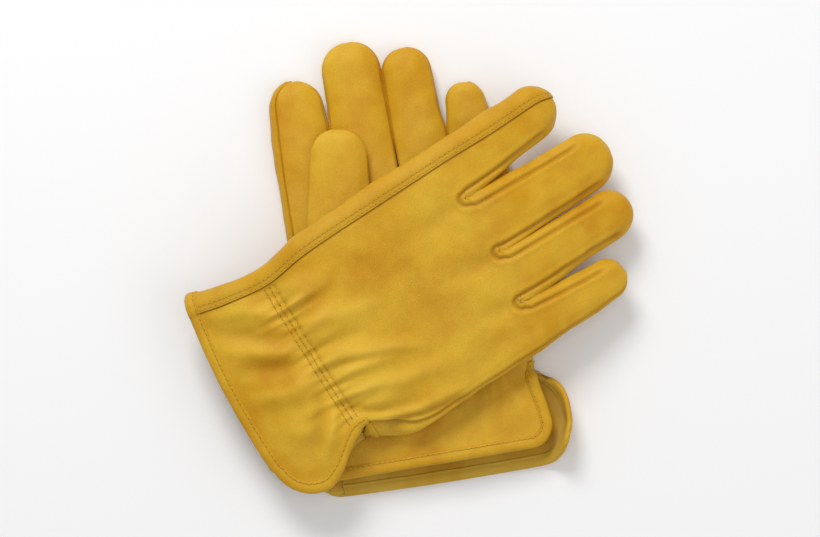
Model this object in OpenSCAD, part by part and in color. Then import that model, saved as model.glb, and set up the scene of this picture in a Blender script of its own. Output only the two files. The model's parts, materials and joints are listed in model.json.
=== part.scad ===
// A pair of leather work gloves lying crossed. The left glove lies palm up on the table, and the
// right glove lies palm down across it, with both thumbs folded between the two palms.
//
// Glove frame, shared by both: x runs from the cuff hem to the fingertips, y towards the index
// side, z from the palm (0) to the back (hand_t). lay() puts a glove into the row frame.

/* [Glove pattern] */
// Thickness of the empty glove as it lies
hand_t = 14; // [13:0.5:15]
// Thickness of the leather
leather_t = 1.2; // [1:0.1:1.4]
// Half the width across the knuckles
palm_half = 63; // [62.5:0.1:63.5]
// Distance from the cuff hem to the wrist elastic
wrist_x = 44; // [42:1:46]
// How far the elastic draws in the little-finger side
wrist_dip = 18; // [14:1:20]
// Distance from the cuff hem to the first finger crotch
crotch_x = 160; // [158:1:162]
// Width of the rolled hem round the cuff
hem_w = 6; // [4:0.5:8]
// Width of the strip that covers the index-side seam
strip_w = 10; // [8:0.5:12]
// Thickness of the flattened thumb
thumb_t = 7; // [7:0.1:7.4]
// Width of the elastic band
elastic_w = 8; // [6:0.5:10]

/* [Lay of the pair] */
// Turn of the left glove about the vertical
left_turn = 99.5; // [99:0.1:100]
// Turn of the right glove about the vertical
right_turn = 33.2; // [33:0.1:33.5]
// Roll of the right glove over the two thumbs under it
right_roll = 11; // [11:0.1:11.5]
// Slope of the right cuff, which hangs off the left glove
cuff_droop = 18; // [10:1:20]

/* [Hidden] */
LEFT = 0;
RIGHT = 1;
FINGERS = ["index", "middle", "ring", "pinky"];

// Finger stalls, index to little finger: centre and half width at the root, half width at the tip
root_y = [47, 13.5, -18.4, -48.3];
root_half = [16, 16.8, 14.3, 14.7];
tip_half = [14.5, 16, 13.5, 11];
// How each glove's fingers lie, [left, right]: where the tip is, where the stall bends, its slope
tip_x = [[224, 241, 233, 209], [230, 243, 237, 215]];
tip_y = [[46.5, 13.5, -16.5, -46], [46, 7, -24, -52]];
bend_x = [[196, 198, 192, 186], [172, 172, 172, 170]];
slope = [[0, 0, 0, 0], [18, 16, 14, 12]];

// Thumb stall: centres of its root and tip circles, and their radii. The left thumb lies along the
// index finger, and the right one across the palm.
thumb_root = [98, 40];
thumb_root_r = 20;
thumb_tip = [[178, 28], [152, -10]];
thumb_tip_r = 15.5;
thumb_hole_r = 14;
thumb_bend_x = 171;

lap_t = 1;              // the strip's thickness on top of the back panel
thread_t = 0.4;
thread_w = 0.8;
elastic_t = 1;
gap = 0.3;              // clearance between a stall and the hand it bends from
over = 1;               // how far cutting solids run past what they cut
far = 300;              // longer than either glove
knuckle_x = 140;        // the stalls' outlines start here, inside the hand
cuff_corner_r = 12;     // rounding where the hem turns up into the side vent
hem_lean = 2;           // the hem reaches this much further out at that corner
vent_x = wrist_x + 3;   // top of the vent on the little-finger side
little_crotch_x = crotch_x - 5;
little_crotch_y = root_y[3] + root_half[3] + 0.4;
hinge_z = hand_t + lap_t + 0.5;
droop_x = 42;           // the cuff's fold line crosses the glove's middle here
fold_lap = 0.05;
droop_dir = 62;         // direction of that fold line, along the left glove's edge
step = 6;               // spacing of the points along a curved edge
wrist_start = wrist_dip - palm_half + hem_w + over;  // the elastic starts here, just inside the hem

left_top = lap_t + hand_t;   // height of the left palm, which faces up
left_place = [18.01, -110.89, lap_t];
right_place = [-89.29, -74.29, left_top + 2 * lap_t + gap + palm_half * sin(right_roll)];

// ---- outlines, in the glove frame ----

// Edge of the hand on the index side: it narrows at the wrist and flares at the hem.
function index_edge(x) = palm_half - 4 * exp(-pow((x - wrist_x) / 20, 2)) + 3 * exp(-pow(x / 12, 2));

// Edge on the little-finger side, where the elastic draws the leather in.
function little_edge(x) = -palm_half + wrist_dip * exp(-pow((x - wrist_x - 2) / 20, 2));

function along(from, to) = [for (i = [0 : ceil((to - from) / step)]) from + (to - from) * i / ceil((to - from) / step)];

// The hem line, from the index side round the vent's corner, moved inwards by d.
function hem_line(d) = concat(
    [[d, index_edge(d)]],
    [for (a = [180 : 15 : 270]) let (r = cuff_corner_r - d)
        [cuff_corner_r - hem_lean + r * cos(a), little_edge(cuff_corner_r) + cuff_corner_r + r * sin(a)]],
    [for (x = along(cuff_corner_r + hem_lean, vent_x)) [x, little_edge(x) + d]]);

// The hand from the hem to the crotches, with its index side drawn in by inset.
module hand_shape(inset) {
    index_side = [for (x = along(0, crotch_x)) [x, index_edge(x) - inset]];
    little_side = [for (x = along(vent_x + 2, little_crotch_x)) [x, little_edge(x)]];
    vent_side = hem_line(0);
    rim = concat(
        [for (i = [1 : len(vent_side) - 1]) vent_side[i]],
        little_side,
        [[little_crotch_x, little_crotch_y], [crotch_x, little_crotch_y]],
        [for (i = [len(index_side) - 1 : -1 : 0]) index_side[i]]);
    polygon(rim);
}

// A stall's outline, from inside the hand to its round tip, drawn in by inset.
module finger_shape(side, f, inset = 0) {
    r = tip_half[f] - inset;
    centre = [tip_x[side][f] - tip_half[f], tip_y[side][f]];
    w = root_half[f] - inset;
    polygon([
        [knuckle_x, root_y[f] - w], [centre.x, centre.y - r],
        [centre.x, centre.y + r], [knuckle_x, root_y[f] + w]]);
    translate(centre) circle(r, $fn = 48);
}

// Where a stall's straight side is at x: way is 1 on the index side and -1 on the other.
function side_y(side, f, way, x) =
    let (root = root_y[f] + way * root_half[f], tip = tip_y[side][f] + way * tip_half[f])
    root + (tip - root) * (x - knuckle_x) / (tip_x[side][f] - tip_half[f] - knuckle_x);

// The thumb's outline, drawn in by inset: half a round at each end and straight sides between.
module thumb_shape(side, inset = 0) {
    tip = thumb_tip[side];
    lean = atan2(tip.y - thumb_root.y, tip.x - thumb_root.x);
    polygon(concat(
        [for (a = [90 : 15 : 270]) thumb_root + (thumb_root_r - inset) * [cos(lean + a), sin(lean + a)]],
        [for (a = [-90 : 15 : 90]) tip + (thumb_tip_r - inset) * [cos(lean + a), sin(lean + a)]]));
}

// The strip of the glove within w of its index-side edge.
module index_band(w) {
    outer = [for (x = along(0, crotch_x)) [x, index_edge(x)]];
    inner = [for (i = [len(outer) - 1 : -1 : 0]) outer[i] - [0, w]];
    polygon(concat(outer, inner));
}

// Everything outside a line w in from that edge, to cut the hems back from the strip.
module index_room(w) {
    edge = [for (x = along(0, crotch_x)) [x, index_edge(x) - w]];
    polygon(concat([[-far, edge[0].y]], edge, [[crotch_x, far], [-far, far]]));
}

module slab(z, t) {
    translate([0, 0, z]) linear_extrude(t) children();
}

// ---- bends: the cuff's droop and the stalls' slopes ----

// Solid space on the fingertip side of x, its face leaning by lean about the hinge line.
module beyond(x, lean) {
    translate([x, -far, hinge_z]) rotate([0, lean, 0]) translate([0, 0, -far / 2]) cube([far, 2 * far, far]);
}

module before(x, lean) {
    translate([x, -far, hinge_z]) rotate([0, lean, 0]) translate([-far, 0, -far / 2]) cube([far, 2 * far, far]);
}

// The cuff's side of the fold line, its face leaning by lean.
module cuff_side(lean) {
    rotate([lean, 0, 0]) translate([-far, 0, -far / 2]) cube([2 * far, far, far]);
}

module at_fold() {
    translate([droop_x, 0, hand_t + lap_t]) rotate(droop_dir) children();
}

module from_fold() {
    rotate(-droop_dir) translate([-droop_x, 0, -hand_t - lap_t]) children();
}

// The right glove's cuff slopes down where nothing holds it up. Both halves meet at one mitre, where
// the hand runs a hair into the cuff.
module drooped(side) {
    if (side == LEFT) children();
    else {
        difference() {
            children();
            at_fold() translate([0, fold_lap, 0]) cuff_side(-cuff_droop / 2);
        }
        at_fold() rotate([-cuff_droop, 0, 0]) intersection() {
            from_fold() children();
            cuff_side(cuff_droop / 2);
        }
    }
}

// The moving end of a stall, turned down to its slope about its own hinge line.
module stall(side, f) {
    x = bend_x[side][f];
    translate([x, 0, hinge_z]) rotate([0, slope[side][f], 0]) translate([-x, 0, -hinge_z])
        intersection() {
            children();
            beyond(x + gap / 2, -slope[side][f] / 2);
        }
}

// The still part of a panel's four fingers, up to their hinge lines.
module stubs(side, z) {
    for (f = [0 : 3]) intersection() {
        slab(z, leather_t) panel_finger(side, f);
        before(bend_x[side][f] - gap / 2, slope[side][f] / 2);
    }
}

module lay(side) {
    if (side == LEFT)
        translate(left_place) rotate(left_turn) translate([0, 0, hand_t]) mirror([0, 0, 1]) children();
    else
        translate(right_place) rotate(right_turn) rotate([right_roll, 0, 0]) children();
}

// ---- the hand ----

module back_panel(side) {
    color("goldenrod") lay(side) drooped(side) {
        slab(hand_t - leather_t, leather_t) hand_shape(leather_t);
        stubs(side, hand_t - leather_t);
    }
}

// Palm leather: the plate, the rolled side that meets the back, and the hole for the thumb.
module palm_panel(side) {
    color("gold") lay(side) drooped(side) difference() {
        union() {
            slab(0, leather_t) hand_shape(leather_t);
            stubs(side, 0);
            slab(leather_t, hand_t - 2 * leather_t) little_wall();
            intersection() {
                slab(leather_t, hand_t - 2 * leather_t) finger_ring(side, 3, -1);
                before(bend_x[side][3] - gap / 2, slope[side][3] / 2);
            }
        }
        slab(-over, leather_t + 2 * over) translate(thumb_root) circle(thumb_hole_r, $fn = 48);
    }
}

// Section of the rolled side by the little finger, from the vent to the stall.
module little_wall() {
    edge = [for (x = along(vent_x + 2, little_crotch_x)) if (x <= knuckle_x + step) [x, little_edge(x)]];
    inner = [for (i = [len(edge) - 1 : -1 : 0]) edge[i] + [0, leather_t]];
    polygon(concat(edge, inner));
}

// One side of a stall's middle line: way is 1 on the index side and -1 on the other.
module half(side, f, way) {
    centre = [tip_x[side][f] - tip_half[f], tip_y[side][f]];
    past = far - centre.x;
    lean = (centre.y - root_y[f]) / (centre.x - knuckle_x);
    polygon([
        [knuckle_x - over, root_y[f] - over * lean], [far, centre.y + past * lean],
        [far, way * far], [knuckle_x - over, way * far]]);
}

// One side of a stall's wall in section.
module finger_ring(side, f, way) {
    intersection() {
        difference() {
            finger_shape(side, f);
            finger_shape(side, f, leather_t);
        }
        half(side, f, way);
    }
}

// A stall's outline as its back and front have it: the index strip's wall stands outside them.
module panel_finger(side, f) {
    if (f == 0) {
        finger_shape(side, f, leather_t);
        intersection() {
            finger_shape(side, f);
            half(side, f, -1);
        }
    } else finger_shape(side, f);
}

// The long strip round the index side: a wall between palm and back, lapped over the back.
module index_strip(side) {
    color("darkgoldenrod") lay(side) drooped(side) difference() {
        union() {
            slab(0, hand_t + lap_t) index_band(leather_t);
            slab(hand_t, lap_t) index_band(strip_w);
            intersection() {
                union() {
                    slab(0, hand_t + lap_t) finger_ring(side, 0, 1);
                    slab(hand_t, lap_t) index_lap(side);
                }
                slab(-over, hand_t + 4 * over) translate([crotch_x, 0]) square([far, far]);
                before(bend_x[side][0] - gap / 2, slope[side][0] / 2);
            }
        }
        strip_stitches();
    }
}

// The lap of the strip along the index finger.
module index_lap(side) {
    intersection() {
        finger_shape(side, 0);
        polygon([
            [knuckle_x, root_y[0] + root_half[0] - strip_w],
            [tip_x[side][0], tip_y[side][0] + tip_half[0] - strip_w / 3],
            [tip_x[side][0], far], [knuckle_x, far]]);
    }
}

// The fourchettes' roots: two walls for each crotch, joined by a V that closes it.
module fourchette_roots(side) {
    color("khaki") lay(side) for (f = [0 : 2]) {
        x = f == 2 ? little_crotch_x : crotch_x;
        low = side_y(side, f + 1, 1, x) - leather_t / 2;
        high = side_y(side, f, -1, x) + leather_t / 2;
        slab(leather_t, hand_t - 2 * leather_t) translate([x - leather_t, low]) square([leather_t, high - low]);
        for (pair = [[f, -1], [f + 1, 1]]) intersection() {
            slab(leather_t, hand_t - 2 * leather_t) finger_ring(side, pair[0], pair[1]);
            beyond(x - leather_t, 0);
            before(bend_x[side][pair[0]] - gap / 2, slope[side][pair[0]] / 2);
        }
    }
}

// ---- the cuff ----

module hem_band(d, w) {
    outer = hem_line(d);
    inner = hem_line(d + w);
    polygon(concat(outer, [for (i = [len(inner) - 1 : -1 : 0]) inner[i]]));
}

// A hem folded round the edge of one panel, whose faces are at z and z + leather_t.
module hem(side, z) {
    lay(side) drooped(side) {
        slab(z - lap_t, lap_t) hem_band(0, hem_w);
        slab(z + leather_t, lap_t) hem_band(0, hem_w);
        slab(z - lap_t, leather_t + 2 * lap_t) hem_band(-lap_t, lap_t);
    }
}

module back_hem(side) {
    color("darkgoldenrod") difference() {
        hem(side, hand_t - leather_t);
        // it stops at the index strip's lap, which runs on to the edge
        lay(side) drooped(side) slab(-over, hand_t + 3 * over) index_room(strip_w);
    }
}

module palm_hem(side) {
    color("darkgoldenrod") difference() {
        hem(side, 0);
        lay(side) drooped(side) slab(-3 * over, hand_t + 6 * over) index_room(leather_t);
    }
}

module wrist_elastic(side) {
    color("ivory") lay(side) drooped(side)
        translate([wrist_x - elastic_w / 2, wrist_start, hand_t - leather_t - elastic_t])
            cube([elastic_w, index_edge(wrist_x) - wrist_start - strip_w / 2, elastic_t]);
}

// Stitching along both edges of the strip, sunk flush in it.
module strip_stitches() {
    for (d = [3, strip_w - 2]) slab(hand_t + lap_t - thread_t, thread_t) translate([0, -d]) index_band(thread_w);
}

// All the stitching on the back: three lines over the elastic and the two along the strip.
module seam_threads(side) {
    color("khaki") lay(side) drooped(side) {
        for (x = [-1 : 1]) translate([wrist_x + 3 * x, wrist_start, hand_t])
            cube([thread_w, index_edge(wrist_x) - wrist_start - strip_w - over, thread_t]);
        strip_stitches();
    }
}

// ---- the thumb ----

// Half of the thumb's shell: a plate whose outer face is at z, and a wall half as high as the thumb.
module thumb_half(side, z, up, hole) {
    wall_t = thumb_t / 2;
    plate_z = up ? z : z - leather_t;
    difference() {
        union() {
            slab(plate_z, leather_t) thumb_shape(side);
            slab(up ? z : z - wall_t, wall_t) difference() {
                thumb_shape(side);
                thumb_shape(side, leather_t);
            }
        }
        if (hole) slab(plate_z - over, leather_t + 2 * over) translate(thumb_root) circle(thumb_hole_r, $fn = 48);
    }
}

module thumb_front(side) {
    color("gold") lay(side) intersection() {
        thumb_half(side, -thumb_t, true, false);
        thumb_side(side);
    }
}

module thumb_rear(side) {
    color("goldenrod") lay(side) intersection() {
        thumb_half(side, 0, false, true);
        thumb_side(side);
    }
}

// The left thumb's tip bends by itself, so its hand side stops at the bend.
module thumb_side(side) {
    x = side == LEFT ? thumb_bend_x - gap / 2 : far;
    translate([-over, -far, -far]) cube([x + over, 2 * far, 2 * far]);
}

// The tip stands just clear of the palm, because it lifts off it.
module thumb_tip_space() {
    translate([thumb_bend_x + gap / 2, -far, -far]) cube([far, 2 * far, far - gap]);
}

module thumb_tip_front() {
    color("gold") lay(LEFT) intersection() {
        thumb_half(LEFT, -thumb_t, true, false);
        thumb_tip_space();
    }
}

module thumb_tip_rear() {
    color("goldenrod") lay(LEFT) intersection() {
        translate([0, 0, -gap]) thumb_half(LEFT, 0, false, false);
        thumb_tip_space();
        translate([-over, -far, -thumb_t / 2]) cube([far, 2 * far, thumb_t]);
    }
}

// ---- the finger stalls ----

module finger_back(side, f) {
    color("goldenrod") lay(side) stall(side, f) slab(hand_t - leather_t, leather_t) panel_finger(side, f);
}

module finger_front(side, f) {
    color("gold") lay(side) stall(side, f) slab(0, leather_t) panel_finger(side, f);
}

module finger_side(side, f, way) {
    color("khaki") lay(side) stall(side, f)
        slab(leather_t, hand_t - 2 * leather_t) finger_ring(side, f, way);
}

// The end of the index strip, which runs on round the index finger.
module index_side(side) {
    color("darkgoldenrod") lay(side) stall(side, 0) {
        slab(0, hand_t + lap_t) finger_ring(side, 0, 1);
        slab(hand_t, lap_t) index_lap(side);
    }
}

// ---- one module call for each node ----

module glove(side, name) {
    back_panel(side);
    palm_panel(side);
    index_strip(side);
    fourchette_roots(side);
    back_hem(side);
    palm_hem(side);
    wrist_elastic(side);
    seam_threads(side);
    thumb_front(side);
    thumb_rear(side);
    index_side(side);
    finger_side(side, 0, -1);
    finger_side(side, 3, 1);
    finger_side(side, 3, -1);
    for (f = [0 : 3]) {
        finger = str(name, "_", FINGERS[f]);
        finger_back(side, f);
        finger_front(side, f);
    }
    for (f = [1, 2]) {
        finger = str(name, "_", FINGERS[f]);
        finger_side(side, f, 1);
        finger_side(side, f, -1);
    }
}

glove(LEFT, "left");
glove(RIGHT, "right");
thumb_tip_front();  // left_thumb_tip_front
thumb_tip_rear();  // left_thumb_tip_rear
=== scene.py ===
import json
import math

import bmesh
import bpy
import numpy as np
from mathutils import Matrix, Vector, noise


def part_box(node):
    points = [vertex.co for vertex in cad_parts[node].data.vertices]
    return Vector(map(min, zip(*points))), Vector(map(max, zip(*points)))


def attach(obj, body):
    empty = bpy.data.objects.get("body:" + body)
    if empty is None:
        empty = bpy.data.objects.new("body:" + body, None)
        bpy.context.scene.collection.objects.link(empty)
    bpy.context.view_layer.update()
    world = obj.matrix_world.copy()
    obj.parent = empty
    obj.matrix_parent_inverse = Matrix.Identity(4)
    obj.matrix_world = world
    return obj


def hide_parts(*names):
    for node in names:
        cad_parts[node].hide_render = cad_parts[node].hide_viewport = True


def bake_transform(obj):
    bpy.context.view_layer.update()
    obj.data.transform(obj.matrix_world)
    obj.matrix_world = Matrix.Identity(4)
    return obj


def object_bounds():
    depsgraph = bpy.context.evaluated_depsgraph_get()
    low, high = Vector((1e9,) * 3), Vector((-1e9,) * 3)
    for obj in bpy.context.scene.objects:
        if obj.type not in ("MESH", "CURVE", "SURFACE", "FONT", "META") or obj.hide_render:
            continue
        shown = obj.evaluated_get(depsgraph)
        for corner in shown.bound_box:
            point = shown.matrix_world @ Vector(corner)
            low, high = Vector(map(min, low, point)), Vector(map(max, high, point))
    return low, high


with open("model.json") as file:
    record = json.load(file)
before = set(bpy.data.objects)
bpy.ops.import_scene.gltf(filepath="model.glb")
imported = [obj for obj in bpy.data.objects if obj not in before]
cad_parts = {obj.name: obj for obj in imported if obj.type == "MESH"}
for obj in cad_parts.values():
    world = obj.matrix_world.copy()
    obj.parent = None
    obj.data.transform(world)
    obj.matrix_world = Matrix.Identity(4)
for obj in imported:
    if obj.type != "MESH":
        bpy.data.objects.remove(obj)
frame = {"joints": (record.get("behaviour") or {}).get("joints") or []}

cad_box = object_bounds()

# A pair of leather work gloves, lying crossed. Both share one glove frame, in mm: x runs from the
# cuff hem to the fingertips, y towards the index side, z from the palm (0) to the back (HAND_T).
# Each glove is made of grids of points, bent and laid in place, then cut into its leather pieces.

MM = 0.001
LEFT, RIGHT = 0, 1
SIDES = ["left", "right"]
FINGERS = ["index", "middle", "ring", "pinky"]

# ---- sizes of the pattern ----
HAND_T = 14.0            # thickness of the empty glove
LEATHER_T = 1.2          # thickness of the leather
PALM_HALF = 63.0         # half the width across the knuckles
WRIST_X = 44.0           # the elastic
ELASTIC_HALF = 4.0       # half its width
WRIST_DIP = [5.0, 18.0]  # how far it draws in the little-finger side
CROTCH_X = 160.0
LITTLE_CROTCH_X = 155.0
VENT_X = 47.0            # top of the side vent
VENT_CLOSE = 4.0         # its two sides have met by this far past it
STRIP_W = 10.0           # the strip over the index-side seam
HEM_W = 5.5
CORNER_R = [12.0, 22.0]  # where the hem turns up into the vent
EDGE_R = 8.0             # roundness of the hand's sides

# fingers, from index to little; where there are two lists, they are the left and the right glove's
ROOT_Y = [47, 13.5, -18.4, -48.3]
ROOT_HALF = [16, 16.8, 14.3, 14.7]
TIP_HALF = [14.5, 16, 13.5, 11]
TIP_X = [[224, 241, 233, 209], [235, 247, 239, 215]]
TIP_Y = [[46.5, 13.5, -16.5, -46], [46, 7, -24, -52]]
BEND_X = [[196, 198, 192, 186], [172, 172, 172, 170]]
SLOPE = [[0, 0, 0, 0], [18, 16, 14, 12]]     # how far each slopes down beyond its bend, in degrees
SLOPE_WIDTH = 14.0       # length of that bend
ROOT_X = 140.0           # the fingers' sides are straight from here
CROTCHES = [30.6, -3.7, -33.3]   # y of the three crotches
THUMB_ROOT = (98.0, 40.0)
THUMB_ROOT_R = 20.0
THUMB_TIP = [(178.0, 28.0), (152.0, -10.0)]
THUMB_TIP_R = 15.5
THUMB_HALF_T = 4.1       # half the flat thumb's thickness
THUMB_Z = -4.4           # its middle lies below the palm
HINGE_Z = HAND_T + 1.5

# shapes that the leather takes
FOLD_X = 42.0            # the right cuff droops beyond a fold line through here
FOLD_DIR = 62.0          # the line's direction, in degrees from x
FOLD_ANGLE = 18.0        # how far it droops
FOLD_WIDTH = 26.0        # length of that bend
HEM_X = [[-4.0, 5.0], [0.0, 3.0]]    # hem of each glove's back and palm
HEM_BOW = [[2.0, 0.0], [9.0, 4.0]]   # how far each bows out in the middle
FLAP_START = 22.0        # the left back spreads beyond this far out from the glove's middle line
FLAP_SPREAD = 22.0       # its corner spreads by this much at the vent
FLAP_Y = 60.0            # and curls up from this far out
FLAP_R = 14.0            # round this radius
PALM_FOLD = 9.0          # how far the right palm stands out beyond the drawn-in wrist
WEB_LENGTH = [74.0, 44.0]    # the fingers part gradually, over this length from the crotch
WEB_RAISE = [30.0, 38.0]     # the leather between them lies high for this length

# ---- stitches ----
STITCH_PITCH = 3.0
STITCH_LENGTH = 2.2
THREAD_R = 0.34
THREAD_LIFT = 0.1        # height of a row above the leather
HOLE_R = 0.42            # the dents between stitches
WRIST_ROWS = (-3, 0, 3)  # rows of stitches across the elastic, from its middle

# ---- studio, in metres ----
CAMERA_ELEVATION = 88.0
CAMERA_DISTANCE = 1.7
FIELD_WIDTH = 0.4457     # width of the view at the gloves
CAMERA_AIM = Vector((0, -0.001, 0))
TABLE_HALF = 6.0
WORLD_LIGHT = 0.45
LIGHTS = [               # name, place, size, power
    ("key", (-0.45, 1.25, 1.3), 0.7, 20),
    ("fill", (1.1, -0.5, 1.3), 1.2, 4),
    ("top", (0.1, -0.1, 1.9), 1.0, 5),
]

# ---- lay of the pair ----
LAY = [
    {"turn": 99.5, "roll": 0.0, "at": (18.01, -110.89, 1.0)},
    {"turn": 33.2, "roll": 11.0, "at": (-89.29, -74.29, 17.3 + PALM_HALF * math.sin(math.radians(11)))},
]


def turned(p, angle, i, j):
    """Points turned in the plane of axes i and j, by degrees."""
    c, s = math.cos(math.radians(angle)), math.sin(math.radians(angle))
    q = p.copy()
    q[..., i], q[..., j] = c * p[..., i] - s * p[..., j], s * p[..., i] + c * p[..., j]
    return q


def lay(side, p):
    """From the glove frame in mm to the shared frame in metres."""
    p = p.copy()
    if side == LEFT:
        p[..., 2] = HAND_T - p[..., 2]
    p = turned(turned(p, LAY[side]["roll"], 1, 2), LAY[side]["turn"], 0, 1)
    return (p + np.array(LAY[side]["at"])) * MM


def curl(d, z, angle, width):
    """A smooth bend of a sheet about d = 0, z = 0: past it, points turn down by angle degrees."""
    k = math.radians(angle) / width
    a = np.clip(d + width / 2, 0, width) * k
    past = np.maximum(d - width / 2, 0)
    before = np.minimum(d + width / 2, 0)
    along = -width / 2 + before + np.sin(a) / k + past * np.cos(a)
    down = -(1 - np.cos(a)) / k - past * np.sin(a)
    return along + z * np.sin(a), down + z * np.cos(a)


def droop(p):
    """The right glove's cuff slopes down beyond its fold line."""
    q = p - np.array([FOLD_X, 0, HAND_T + 1])
    q = turned(q, -FOLD_DIR, 0, 1)
    q[..., 1], q[..., 2] = curl(q[..., 1], q[..., 2], FOLD_ANGLE, FOLD_WIDTH)
    q = turned(q, FOLD_DIR, 0, 1)
    return q + np.array([FOLD_X, 0, HAND_T + 1])


def sloped(side, f, p):
    """A finger slopes down beyond its hinge."""
    if not SLOPE[side][f]:
        return p
    q = p.copy()
    d, z = curl(p[..., 0] - BEND_X[side][f], p[..., 2] - HINGE_Z, SLOPE[side][f], SLOPE_WIDTH)
    q[..., 0], q[..., 2] = d + BEND_X[side][f], z + HINGE_Z
    return q


# ---- outlines ----

def index_edge(x):
    return PALM_HALF - 4 * np.exp(-((x - WRIST_X) / 20) ** 2) + 3 * np.exp(-(x / 12) ** 2)


def little_edge(side, x):
    return -PALM_HALF + WRIST_DIP[side] * np.exp(-((x - WRIST_X - 2) / 20) ** 2)


def hem_x(side, face, y):
    """Where the hem lies on a face: it bows out between the strip and the vent."""
    k = 0 if face == "top" else 1
    return HEM_X[side][k] - HEM_BOW[side][k] * np.clip(1 - ((y + 20) / 85) ** 2, 0, 1)


def ramp(t):
    t = np.clip(t, 0, 1)
    return t * t * (3 - 2 * t)


def finger_centre(side, f):
    return TIP_X[side][f] - TIP_HALF[f], TIP_Y[side][f]


def finger_side(side, f, way, x):
    """y of a finger's side: way is 1 on the index side and -1 on the other."""
    cx, cy = finger_centre(side, f)
    root, tip = ROOT_Y[f] + way * ROOT_HALF[f], cy + way * TIP_HALF[f]
    return root + (tip - root) * (x - ROOT_X) / (cx - ROOT_X)


def half_thickness(x):
    """Half the glove's thickness: the elastic draws it in, and the fingers are a little thinner."""
    return HAND_T / 2 * (1 - 0.2 * np.exp(-((x - WRIST_X) / 14) ** 2)) * (1 - 0.05 * ramp((x - 150) / 30))


# ---- columns of the grids ----

def spaced(total, fine, fine_step, coarse_step, ends):
    """Distances from 0 to total, closer together within fine of the named ends."""
    marks, d = [0.0], 0.0
    while d < total - 1e-6:
        near = (ends[0] and d < fine) or (ends[1] and d > total - fine)
        d += fine_step if near else coarse_step
        marks.append(d)
    return np.array(marks) * total / marks[-1]


# Angles round a side from the top (90) to the bottom (-90), close together at each seam
SEAM_A = 47.0            # the fourchettes' seams
LIP_A = 38.0             # the seam along the little-finger side
UNDER_A = -50.0          # the strip's seam with the palm
THUMB_SEAM_A = 12.0
PALM_A = -12.0           # the fourchettes' seams on the palm's side


def round_a_seam(angle, step=1.6):
    return [angle + step * k for k in (5, 3, 1.6, 0.8, 0, -0.8, -1.6, -3, -5)]


SEAM_REACH = 8           # a seam's groove reaches this many columns to each side
WALL_INNER = [86, 82, 78, 74, 70, 66, 62, 58] + round_a_seam(SEAM_A)
WALL_INNER += [34, 28, 21, 14, 8, 3] + round_a_seam(PALM_A)
WALL_INNER += [-28, -38, -48, -59, -70, -81]
WALL_LITTLE = [82, 73, 64, 55] + round_a_seam(LIP_A) + [24, 17, 9, 0, -9, -20, -32, -44, -57, -70, -80]
WALL_STRIP = [80, 70, 60, 51, 42, 30, 16, 2, -12, -26, -36] + round_a_seam(UNDER_A) + [-66, -77]

LAP_IN = STRIP_W - EDGE_R    # the strip's edge, from where the side starts to turn down
INDEX_COLS = np.concatenate([
    [0],
    LAP_IN + np.array([-1.1, -0.5, -0.2, -0.04, 0.04, 0.35, 0.9]),
    LAP_IN + 1.6 + spaced(PALM_HALF - EDGE_R - CROTCHES[0] - LAP_IN - 1.6, 5, 0.6, 1.5, (False, True))])
LAP_COL = 4
LAP_REACH = LAP_IN + 1.6     # the columns about the lap keep their distance from the side
FINGER_COLS = [
    INDEX_COLS / INDEX_COLS[-1],
    spaced(1, 0.15, 0.02, 0.05, (True, True)),
    spaced(1, 0.15, 0.02, 0.05, (True, True)),
    spaced(1, 0.2, 0.025, 0.065, (True, False)),
]
BOUNDS = [PALM_HALF - EDGE_R] + CROTCHES + [EDGE_R - PALM_HALF]
HAND_Y = np.concatenate([
    BOUNDS[f] + (BOUNDS[f + 1] - BOUNDS[f]) * FINGER_COLS[f][(1 if f else 0):] for f in range(4)])
FIRST = np.cumsum([0] + [len(c) - 1 for c in FINGER_COLS])   # where each finger's columns start


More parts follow.
